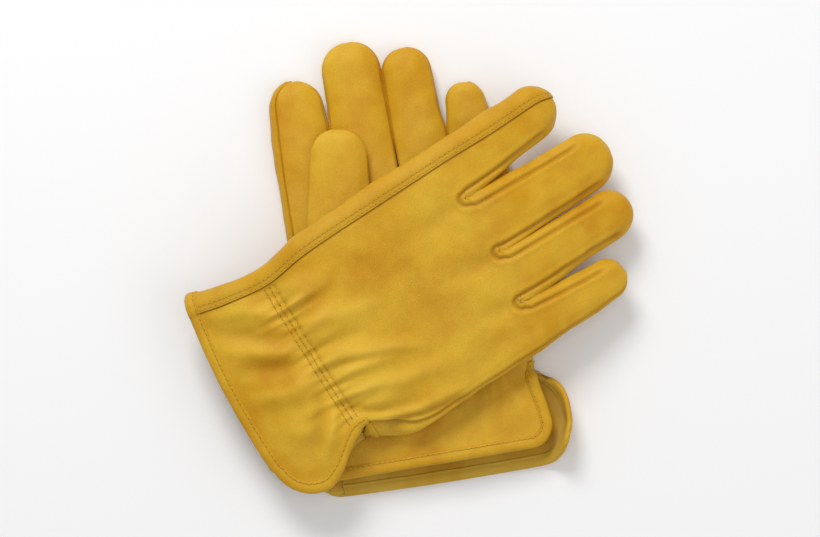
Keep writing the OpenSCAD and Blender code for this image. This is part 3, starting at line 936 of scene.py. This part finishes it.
def piece(name, side, g, cols, material="leather", tip=False):
    """One panel of leather: some columns of a grid, with its flesh side and its cut edges."""
    r, c = g.p[:, cols].shape[:2]
    ids = np.arange(r * c).reshape(r, c)
    if tip:
        ids[-1] = ids[-1, 0]
    if tip == "both":
        ids[0] = ids[0, 0]
    total = r * c
    faces = []
    for i in range(r - 1):
        for j in range(c - 1):
            corners = (ids[i, j], ids[i, j + 1], ids[i + 1, j + 1], ids[i + 1, j])
            q = list(dict.fromkeys(int(v) for v in corners))
            if len(q) > 2:
                faces.append(q)
    outer = len(faces)
    faces += [[v + total for v in q[::-1]] for q in faces]
    rim = list(ids[0]) + list(ids[1:, -1]) + list(ids[-1, -2::-1]) + list(ids[-2:0:-1, 0])
    for a, b in zip(rim, rim[1:] + rim[:1]):
        if a != b:
            faces.append([int(a), int(a) + total, int(b) + total, int(b)])
    if side == LEFT:
        faces = [q[::-1] for q in faces]
    verts = np.concatenate([a[:, cols].reshape(-1, 3) for a in (g.p, g.inner)])
    normals = g.n[:, cols].reshape(-1, 3)
    rest, painted_shading_and_wear = g.rest[:, cols].reshape(-1, 3), g.painted_shading_and_wear[:, cols].ravel()
    slots = np.zeros(len(faces), int)
    slots[outer:] = 1
    return new_object(name, verts, faces, np.concatenate([normals, -normals]), np.concatenate([rest, rest]),
                      np.concatenate([painted_shading_and_wear, painted_shading_and_wear * 0]), [material, "suede"], slots)


def loft(name, rings, material, rest=None, inner=None):
    """A closed band through rings of points, capped at both ends."""
    rings = np.array(rings)
    n, k = rings.shape[:2]
    faces = []
    for i in range(n - 1):
        for j in range(k):
            a, b = i * k + j, i * k + (j + 1) % k
            faces.append([a, b, b + k, a + k])
    faces.append(list(range(k))[::-1])
    faces.append([(n - 1) * k + j for j in range(k)])
    verts = rings.reshape(-1, 3)
    rest = verts / MM if rest is None else np.array(rest).reshape(-1, 3)
    slots = None
    if inner:
        slots = np.array([int(i % k >= inner[1]) for i in range((n - 1) * k)] + [0, 0])
    materials = [material] + list(inner or [])[:1]
    obj = new_object(name, verts, faces, None, rest, np.zeros(len(verts)), materials, slots)
    face_outward(obj)
    return obj


def face_outward(obj):
    """Turns every face of a closed piece outward."""
    b = bmesh.new()
    b.from_mesh(obj.data)
    bmesh.ops.recalc_face_normals(b, faces=b.faces)
    b.to_mesh(obj.data)
    b.free()


def hem_line(side, face, hand, inset):
    """The hem line moved in by inset, as rows and columns: along the cuff, round, and up the vent."""
    corner_hem = float(hem_x(side, face, EDGE_R - PALM_HALF))
    r = CORNER_R[side] - inset
    turn_x = corner_hem + CORNER_R[side]
    turn_y = little_edge(side, turn_x) + CORNER_R[side]
    corner = [(turn_x - r * math.cos(a), turn_y - r * math.sin(a)) for a in np.linspace(0, math.pi / 2, 9)]
    vent = [(x, little_edge(side, x) + inset) for x in np.linspace(turn_x + 1.5, VENT_X + VENT_CLOSE, 20)]
    under, side_col = column(hand, "strip", UNDER_A), column(hand, "strip", 2)
    if face == "top":
        cols, first = (side_col, hand.cols["high"][-1]), hand.rest[0, side_col, 1]
        prefix = np.arange(under, side_col)
    else:
        cols, first = (0, under), hand.rest[0, under, 1]
        prefix = np.array([], int)
    y_run = first + (corner[0][1] - first) * np.arange(60) / 60
    run = list(zip(hem_x(side, face, y_run) + inset, y_run))
    line = np.array(run + corner + vent)
    rows, columns = hand.find(line[:, 0], line[:, 1], cols)
    # where the vent's two sides turn to meet, the hem keeps to its column
    first_meeting = len(run) + len(corner) + np.searchsorted([x for x, _ in vent], VENT_X - 5)
    meeting = np.arange(len(line)) >= first_meeting
    columns[meeting] = columns[~meeting][-1]
    near_col = int(round(columns[-1]))
    every_row = np.arange(hand.rest.shape[0])
    rows[meeting] = np.interp(line[meeting, 0], hand.rest[:, near_col, 0], every_row)
    start = [np.interp(hand.rest[0, c, 0] + inset, hand.rest[:, c, 0], every_row) for c in prefix]
    return np.concatenate([start, rows]), np.concatenate([prefix, columns])


HEM_INSETS = [0.0, 0.7, 1.8, 3.0, 3.8, 4.3, 4.9, HEM_W]
HEM_RISE = [0.85, 1.15, 1.3, 1.15, 0.8, 0.75, 0.95, -0.1]
SEAM_INSET = 4.3


def hem(side, face, hand):
    """Leather folded round the edge of a panel, with its stitches in a channel."""
    sheets = [hand.at(*hem_line(side, face, hand, inset)) for inset in HEM_INSETS]
    rings, rest = [], []
    for i in range(len(sheets[0][0])):
        outward = sheets[0][0][i] - sheets[2][0][i]
        outward /= max(np.linalg.norm(outward), 1e-9)
        n0 = sheets[0][1][i]
        ring = [s[0][i] + s[1][i] * rise * MM for s, rise in zip(sheets, HEM_RISE)][::-1]
        for over, sink in ((0.9, 0.45), (1.35, -0.6), (0.9, -1.65)):
            ring.append(sheets[0][0][i] + (outward * over + n0 * sink) * MM)
        for s, rise in zip(sheets, HEM_RISE):
            ring.append(s[0][i] - s[1][i] * (LEATHER_T + max(rise, 0.05) * 0.8) * MM)
        rings.append(ring)
        rest.append([sheets[0][2][i] + np.array([k * 0.9, 0, 0]) for k in range(len(ring))])
    name = {"top": "back", "bottom": "palm"}[face]
    band = loft(f"{SIDES[side]}_{name}_hem_fold", rings, "trim", rest, ("lining", len(HEM_INSETS) + 2))
    seam = HEM_INSETS.index(SEAM_INSET)
    places, normals, _ = sheets[seam]
    path = places + normals * (HEM_RISE[seam] + 0.12) * MM
    return band, path, normals


def stitches(name, runs):
    """Rows of short threads: each dips into the leather at both ends."""
    verts, faces, rest = [], [], []
    sides, steps = 6, 5
    for path, normals in runs:
        seg = np.linalg.norm(np.diff(path, axis=0), axis=1)
        s = np.concatenate([[0], np.cumsum(seg)]) / MM
        count = int((s[-1] - 1) / STITCH_PITCH)
        for k in range(count):
            t = (k + 0.5) * STITCH_PITCH + np.linspace(-STITCH_LENGTH / 2, STITCH_LENGTH / 2, steps)
            line = np.array([np.interp(t, s, path[:, a]) for a in range(3)]).T
            up = np.array([np.interp(t, s, normals[:, a]) for a in range(3)]).T
            d = line[-1] - line[0]
            d /= max(np.linalg.norm(d), 1e-9)
            base = len(verts)
            for m in range(steps):
                bow = 1 - (2 * m / (steps - 1) - 1) ** 2
                u = up[m] / max(np.linalg.norm(up[m]), 1e-9)
                w = np.cross(d, u)
                centre = line[m] + u * (bow * 0.34 - 0.3) * MM
                r = THREAD_R * (0.6 + 0.4 * bow) * MM
                for q in range(sides):
                    a = 2 * math.pi * q / sides
                    verts.append(centre + (w * math.cos(a) + u * math.sin(a)) * r)
                    rest.append((t[m], q * 0.3, k % 7))
            for m in range(steps - 1):
                for q in range(sides):
                    a, b = base + m * sides + q, base + m * sides + (q + 1) % sides
                    faces.append([a, b, b + sides, a + sides])
            faces.append([base + q for q in range(sides)][::-1])
            faces.append([base + (steps - 1) * sides + q for q in range(sides)])
    obj = new_object(name, np.array(verts), faces, None, np.array(rest), np.zeros(len(verts)), ["thread"])
    face_outward(obj)
    return obj


def needle_holes(name, runs):
    """Small dents where the thread goes into the leather, between the stitches, coloured deep brown as
    painted shade in the holes.
    """
    verts, faces, rest = [], [], []
    for path, normals in runs:
        s = np.concatenate([[0], np.cumsum(np.linalg.norm(np.diff(path, axis=0), axis=1))]) / MM
        for k in range(int((s[-1] - 1) / STITCH_PITCH) + 1):
            t = k * STITCH_PITCH + 0.001
            centre = np.array([np.interp(t, s, path[:, a]) for a in range(3)])
            ahead = np.array([np.interp(t + 0.5, s, path[:, a]) for a in range(3)]) - centre
            u = np.array([np.interp(t, s, normals[:, a]) for a in range(3)])
            u /= np.linalg.norm(u)
            d = ahead / max(np.linalg.norm(ahead), 1e-9)
            w = np.cross(d, u)
            base = len(verts)
            for lift, size in ((-0.12, 1.0), (-0.02, 0.8)):
                for q in range(6):
                    a = math.pi * q / 3
                    aside = (w * math.cos(a) * 0.8 + d * math.sin(a)) * HOLE_R * size
                    verts.append(centre + (aside + u * lift) * MM)
                    rest.append((t, q, k))
            for q in range(6):
                beside = (q + 1) % 6
                faces.append([base + q, base + beside, base + 6 + beside, base + 6 + q])
            faces.append([base + 6 + q for q in range(6)])
            faces.append([base + q for q in range(6)][::-1])
    obj = new_object(name, np.array(verts), faces, None, np.array(rest), np.zeros(len(verts)), ["painted_hole_shade"])
    face_outward(obj)
    return obj


def column_path(g, col, r0, r1):
    """A line of places along a column, just above the leather, and their normals."""
    r = np.arange(r0, r1, 0.5)
    p, n, _ = g.at(r, np.full(len(r), float(col)))
    return p + n * THREAD_LIFT * MM, n


# ---- materials ----

def node(nt, kind, **values):
    n = nt.nodes.new(kind)
    for k, v in values.items():
        if k in n.inputs:
            n.inputs[k].default_value = v
        else:
            setattr(n, k, v)
    return n


def leather(name, base, light, shade, grain=1.0, wear=0.5, rough=0.5):
    """Soft grained leather: mottled and pale with wear in places, with painted shade in its creases and
    seams and a painted highlight, partly wear, on its ridges.
    """
    m = bpy.data.materials.new(name)
    m.use_nodes = True
    nt = m.node_tree
    link = nt.links.new
    bsdf = nt.nodes["Principled BSDF"]
    pattern = node(nt, "ShaderNodeAttribute", attribute_name="pattern")
    painted_shading_and_wear = node(nt, "ShaderNodeAttribute", attribute_name="painted_shading_and_wear")

    def noise_at(scale, detail, roughness=0.55):
        n = node(nt, "ShaderNodeTexNoise", Scale=scale, Detail=detail, Roughness=roughness)
        link(pattern.outputs["Vector"], n.inputs["Vector"])
        return n.outputs["Fac"]

    def ramp_of(value, *stops):
        r = node(nt, "ShaderNodeValToRGB")
        while len(r.color_ramp.elements) < len(stops):
            r.color_ramp.elements.new(0.5)
        for e, (pos, colour) in zip(r.color_ramp.elements, stops):
            e.position, e.color = pos, (*colour, 1)
        link(value, r.inputs["Fac"])
        return r.outputs["Color"]

    def mixed(kind, fac, a, b):
        x = node(nt, "ShaderNodeMix", data_type="RGBA", blend_type=kind)
        for value, socket in ((fac, x.inputs[0]), (a, x.inputs[6]), (b, x.inputs[7])):
            if hasattr(value, "is_output"):
                link(value, socket)
            elif isinstance(value, tuple):
                socket.default_value = (*value, 1)
            else:
                socket.default_value = value
        return x.outputs[2]

    def maths(kind, a, b=None, clamp=False):
        x = node(nt, "ShaderNodeMath", operation=kind, use_clamp=clamp)
        for value, socket in ((a, x.inputs[0]), (b, x.inputs[1])):
            if hasattr(value, "is_output"):
                link(value, socket)
            elif value is not None:
                socket.default_value = value
        return x.outputs[0]

    broad = ramp_of(noise_at(22, 3), (0.36, (0, 0, 0)), (0.66, (1, 1, 1)))
    blotch = ramp_of(noise_at(95, 5, 0.6), (0.4, (0, 0, 0)), (0.72, (1, 1, 1)))
    fine = noise_at(900, 3)
    cells = node(nt, "ShaderNodeTexVoronoi", feature="DISTANCE_TO_EDGE", Scale=820.0, Randomness=1.0)
    warp = node(nt, "ShaderNodeVectorMath", operation="ADD")
    swirl = node(nt, "ShaderNodeTexNoise", Scale=340.0, Detail=2.0)
    link(pattern.outputs["Vector"], swirl.inputs["Vector"])
    small = node(nt, "ShaderNodeVectorMath", operation="SCALE", Scale=0.0016)
    link(swirl.outputs["Color"], small.inputs[0])
    link(pattern.outputs["Vector"], warp.inputs[0])
    link(small.outputs[0], warp.inputs[1])
    link(warp.outputs[0], cells.inputs["Vector"])
    creases = ramp_of(cells.outputs["Distance"], (0.0, (0, 0, 0)), (0.16, (1, 1, 1)))
    colour = mixed("MIX", maths("MULTIPLY", broad, wear), base, light)
    colour = mixed("MIX", maths("MULTIPLY", blotch, 0.4 * wear), colour, light)
    low = ramp_of(noise_at(48, 4), (0.3, (1, 1, 1)), (0.52, (0, 0, 0)))
    colour = mixed("MIX", maths("MULTIPLY", low, 0.3), colour, shade)
    colour = mixed("MULTIPLY", maths("MULTIPLY", maths("SUBTRACT", 1.0, creases), 0.22 * grain), colour,
                   (0.6, 0.5, 0.35))
    # painted highlight, partly wear: where the shading value is below zero, the ridges are coloured paler
    ridge = maths("MULTIPLY", painted_shading_and_wear.outputs["Fac"], -1.0, clamp=True)
    highlight_and_wear = tuple(min(c * 1.06 + 0.03, 1) for c in light)
    colour = mixed("MIX", maths("MULTIPLY", ridge, 0.75), colour, highlight_and_wear)
    # painted shade: where the shading value is above zero, creases, grooves, seams and the cuff are
    # coloured darker
    strong = maths("ADD", painted_shading_and_wear.outputs["Fac"], 0.0, clamp=True)
    colour = mixed("MIX", maths("MULTIPLY", strong, 0.8), colour, tuple(c * 0.6 for c in shade))
    link(colour, bsdf.inputs["Base Color"])
    r = maths("ADD", maths("MULTIPLY", fine, 0.22), rough - 0.12)
    r = maths("ADD", r, maths("MULTIPLY", blotch, 0.08), clamp=True)
    link(r, bsdf.inputs["Roughness"])
    bsdf.inputs["Specular IOR Level"].default_value = 0.24
    bsdf.inputs["Sheen Weight"].default_value = 0.02
    bsdf.inputs["Sheen Roughness"].default_value = 0.5
    height = maths("ADD", maths("MULTIPLY", creases, 0.5 * grain), maths("MULTIPLY", fine, 0.4))
    height = maths("ADD", height, maths("MULTIPLY", noise_at(230, 4, 0.6), 1.3))
    bump = node(nt, "ShaderNodeBump", Strength=0.45, Distance=0.0003)
    link(height, bump.inputs["Height"])
    link(bump.outputs["Normal"], bsdf.inputs["Normal"])
    MATERIALS[name] = m
    return m


def napped(name, base, light):
    """Suede: the leather's flesh side."""
    m = leather(name, base, light, tuple(c * 0.7 for c in base), 0.0, 0.8, 0.85)
    bsdf = m.node_tree.nodes["Principled BSDF"]
    bsdf.inputs["Sheen Weight"].default_value = 0.5
    bsdf.inputs["Specular IOR Level"].default_value = 0.15
    return m


def twisted(name, base, rough=0.6, stretch=1.0):
    """Thread or elastic: fine ribs along its length."""
    m = bpy.data.materials.new(name)
    m.use_nodes = True
    nt = m.node_tree
    link = nt.links.new
    bsdf = nt.nodes["Principled BSDF"]
    pattern = node(nt, "ShaderNodeAttribute", attribute_name="pattern")
    wave = node(nt, "ShaderNodeTexWave", Scale=650.0 * stretch, Distortion=1.5)
    wave.bands_direction = "DIAGONAL"
    link(pattern.outputs["Vector"], wave.inputs["Vector"])
    tone = node(nt, "ShaderNodeMix", data_type="RGBA")
    tone.inputs[6].default_value = (*[c * 0.72 for c in base], 1)
    tone.inputs[7].default_value = (*base, 1)
    link(wave.outputs["Fac"], tone.inputs[0])
    link(tone.outputs[2], bsdf.inputs["Base Color"])
    bump = node(nt, "ShaderNodeBump", Strength=0.5, Distance=0.0002)
    link(wave.outputs["Fac"], bump.inputs["Height"])
    link(bump.outputs["Normal"], bsdf.inputs["Normal"])
    bsdf.inputs["Roughness"].default_value = rough
    MATERIALS[name] = m
    return m


leather("leather", (0.60, 0.295, 0.002), (0.73, 0.46, 0.03), (0.50, 0.185, 0.002), wear=0.75)
leather("trim", (0.59, 0.30, 0.002), (0.68, 0.42, 0.025), (0.44, 0.17, 0.002), 1.0, 0.5, 0.46)
leather("lining", (0.55, 0.31, 0.010), (0.66, 0.43, 0.06), (0.42, 0.19, 0.003), 0.6, 0.7, 0.6)
napped("suede", (0.50, 0.24, 0.009), (0.60, 0.37, 0.04))
twisted("thread", (0.62, 0.37, 0.02))
# painted shade: the holes between the stitches are coloured deep brown for the shade inside them
twisted("painted_hole_shade", (0.34, 0.155, 0.005), 0.9)
twisted("elastic", (0.62, 0.55, 0.36), 0.8, 0.4)

# ---- building the pair ----

JOINTS = {j["child"]: j for j in frame["joints"]}


def across_hinge(obj, child):
    """Leather where a finger or a thumb's tip joins the hand: its transform is baked into its points, and
    it is not bent.
    """
    j = JOINTS[child]
    at = Vector(j["pos_m"])
    along = Vector((0, 0, 1)).cross(Vector(j["axis"])).normalized()
    low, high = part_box(child + ("_front" if "thumb" in child else "_back"))
    if along.dot((low + high) / 2 - at) < 0:
        along.negate()
    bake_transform(obj)


def place(obj, body, child, nodes):
    """A piece rides on a body, or, where it meets a child, only has its transform baked; it stands for some
    CAD nodes.
    """
    if child:
        across_hinge(obj, child)
    else:
        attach(obj, body)
    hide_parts(*nodes)


def finger_pieces(side, g):
    """A finger's panels as (name, columns, material, CAD nodes)."""
    who = f"{SIDES[side]}_{FINGERS[g.finger]}"
    roots = [f"{SIDES[side]}_fourchette_roots"]
    n = g.p.shape[1]
    hi_up, hi_low = column(g, "hi", SEAM_A), column(g, "hi", PALM_A)
    lo_up, lo_low = column(g, "lo", SEAM_A), column(g, "lo", PALM_A)

    def wrapped(a, b):
        """Columns from a on round the grid's join to b."""
        return list(range(a, n)) + list(range(1, b + 1))

    if g.finger == 0:
        lap, under = g.cols["top"][LAP_COL], column(g, "hi", UNDER_A)
        return [(who + "_back_leather", list(range(lap, lo_up + 1)), "leather", [who + "_back"]),
                (who + "_strip_leather", list(range(under, lap + 1)), "trim", [who + "_side"]),
                (who + "_front_leather", wrapped(lo_low, under), "leather", [who + "_front"]),
                (who + "_fourchette_leather", list(range(lo_up, lo_low + 1)), "leather",
                 [who + "_fourchette"] + roots)]
    if g.finger == 3:
        lip = column(g, "lo", LIP_A)
        return [(who + "_back_leather", list(range(hi_up, lip + 1)), "leather", [who + "_back"]),
                (who + "_front_leather", wrapped(lip, hi_low), "leather", [who + "_front", who + "_side"]),
                (who + "_fourchette_leather", list(range(hi_low, hi_up + 1)), "leather",
                 [who + "_fourchette"] + roots)]
    return [(who + "_back_leather", list(range(hi_up, lo_up + 1)), "leather", [who + "_back"]),
            (who + "_front_leather", wrapped(lo_low, hi_low), "leather", [who + "_front"]),
            (who + "_fourchette_a_leather", list(range(hi_low, hi_up + 1)), "leather",
             [who + "_fourchette_a"] + roots),
            (who + "_fourchette_b_leather", list(range(lo_up, lo_low + 1)), "leather",
             [who + "_fourchette_b"] + roots)]


def wrist_row(side, hand, x, inset=0.0):
    """A line across the back at x, from the strip to the little-finger side, as rows and columns."""
    ys = np.linspace(index_edge(x) - STRIP_W - 1.5 - inset, little_edge(side, x) + 5.5 + inset, 90)
    return hand.find(np.full(len(ys), float(x)), ys, (hand.cols["top"][0], hand.cols["high"][-1]))


def elastic(side, hand):
    """The band sewn inside the back across the wrist."""
    rings = []
    across = np.linspace(WRIST_X - ELASTIC_HALF, WRIST_X + ELASTIC_HALF, 7)
    lines = [hand.at(*wrist_row(side, hand, x, 2.0)) for x in across]
    for i in range(len(lines[0][0])):
        rings.append([p[i] - n[i] * (LEATHER_T + 0.25) * MM for p, n, _ in lines]
                     + [p[i] - n[i] * (LEATHER_T + 1.0) * MM for p, n, _ in lines[::-1]])
    return loft(f"{SIDES[side]}_wrist_elastic_band", rings, "elastic")


def build_glove(side):
    who = SIDES[side]
    body = who + "_glove"
    hand, fingers, thumb = make_glove(side)
    lap, under = hand.cols["top"][LAP_COL], column(hand, "strip", UNDER_A)
    for name, cols, material, node_name, slot in (
            ("back", slice(lap, hand.p.shape[1]), "leather", "back_panel", "leather"),
            ("palm", slice(0, under + 1), "leather", "palm_panel", "leather"),
            ("edge_strip", slice(under, lap + 1), "trim", "index_strip", "leather_strip")):
        obj = piece(f"{who}_{name}_leather", side, hand, cols, material)
        place(obj, body, None, [f"{who}_{node_name}"])
    for g in fingers:
        child = f"{who}_{FINGERS[g.finger]}"
        for name, cols, material, nodes in finger_pieces(side, g):
            obj = piece(name, side, g, cols, material, tip=True)
            place(obj, body, child, nodes)
    # the thumb: its outer face, and the one that lies next to the palm
    n = thumb.p.shape[1]
    hi, lo = column(thumb, "hi", THUMB_SEAM_A), column(thumb, "lo", THUMB_SEAM_A)
    child = "left_thumb_tip" if side == LEFT else None
    front, rear = list(range(lo, n)) + list(range(1, hi + 1)), list(range(hi, lo + 1))
    for name, cols in (("front", front), ("rear", rear)):
        obj = piece(f"{who}_thumb_{name}_leather", side, thumb, cols, tip="both")
        nodes = [f"{who}_thumb_{name}"] + ([f"{child}_{name}"] if child else [])
        place(obj, body, child, nodes)
    # hems and threads
    runs = []
    for face, name in (("top", "back"), ("bottom", "palm")):
        band, path, normals = hem(side, face, hand)
        place(band, body, None, [f"{who}_{name}_hem"])
        runs.append((path, normals))
    for row in WRIST_ROWS:
        p, normals, _ = hand.at(*wrist_row(side, hand, WRIST_X + row))
        runs.append((p + normals * THREAD_LIFT * MM, normals))
    strip_rows = [column_path(hand, c, 1.5, hand.p.shape[0] - 1) for c in stitch_columns(hand, lap)]
    for kind, runs_here in (("hem_and_wrist", runs), ("strip", strip_rows)):
        obj = stitches(f"{who}_{kind}_stitches", runs_here)
        place(obj, body, None, [f"{who}_seam_threads"])
        obj = needle_holes(f"{who}_{kind}_needle_holes", runs_here)
        place(obj, body, None, [])
    g = fingers[0]
    f_lap = g.cols["top"][LAP_COL]
    tip_rows = [column_path(g, c, 0.5, g.p.shape[0] - 4) for c in stitch_columns(g, f_lap)]
    child = who + "_index"
    place(stitches(f"{who}_index_strip_stitches", tip_rows), body, child, [])
    place(needle_holes(f"{who}_index_strip_needle_holes", tip_rows), body, child, [])
    place(elastic(side, hand), body, None, [f"{who}_wrist_elastic"])


def stage():
    """A pale table top, soft lights above it, and the camera."""
    corners = [(x * TABLE_HALF, y * TABLE_HALF, 0) for x, y in ((-1, -1), (1, -1), (1, 1), (-1, 1))]
    mesh = bpy.data.meshes.new("table")
    mesh.from_pydata(corners, [], [(0, 1, 2, 3)])
    floor = bpy.data.objects.new("table", mesh)
    bpy.context.scene.collection.objects.link(floor)
    m = bpy.data.materials.new("table_top")
    m.use_nodes = True
    bsdf = m.node_tree.nodes["Principled BSDF"]
    bsdf.inputs["Base Color"].default_value = (0.90, 0.90, 0.90, 1)
    bsdf.inputs["Roughness"].default_value = 0.9
    mesh.materials.append(m)
    world = bpy.data.worlds.new("studio")
    world.use_nodes = True
    world.node_tree.nodes["Background"].inputs["Color"].default_value = (1, 1, 1, 1)
    world.node_tree.nodes["Background"].inputs["Strength"].default_value = WORLD_LIGHT
    bpy.context.scene.world = world
    for name, at, size, power in LIGHTS:
        light = bpy.data.lights.new(name, "AREA")
        light.energy, light.size = power, size
        obj = bpy.data.objects.new(name, light)
        obj.location = at
        obj.rotation_euler = (Vector((0, 0, 0.02)) - Vector(at)).to_track_quat("-Z", "Y").to_euler()
        bpy.context.scene.collection.objects.link(obj)
    low, high = (Vector(c) for c in cad_box)
    target = (low + high) / 2 + CAMERA_AIM
    rise = math.radians(CAMERA_ELEVATION)
    camera = bpy.data.cameras.new("camera")
    camera.lens = 36 * CAMERA_DISTANCE / FIELD_WIDTH
    obj = bpy.data.objects.new("camera", camera)
    obj.location = target + Vector((0, -math.cos(rise), math.sin(rise))) * CAMERA_DISTANCE
    obj.rotation_euler = (target - obj.location).to_track_quat("-Z", "Y").to_euler()
    bpy.context.scene.collection.objects.link(obj)
    bpy.context.scene.camera = obj
    bpy.context.scene.view_settings.view_transform = "Standard"



for side in (LEFT, RIGHT):
    build_glove(side)
stage()
bpy.context.view_layer.update()
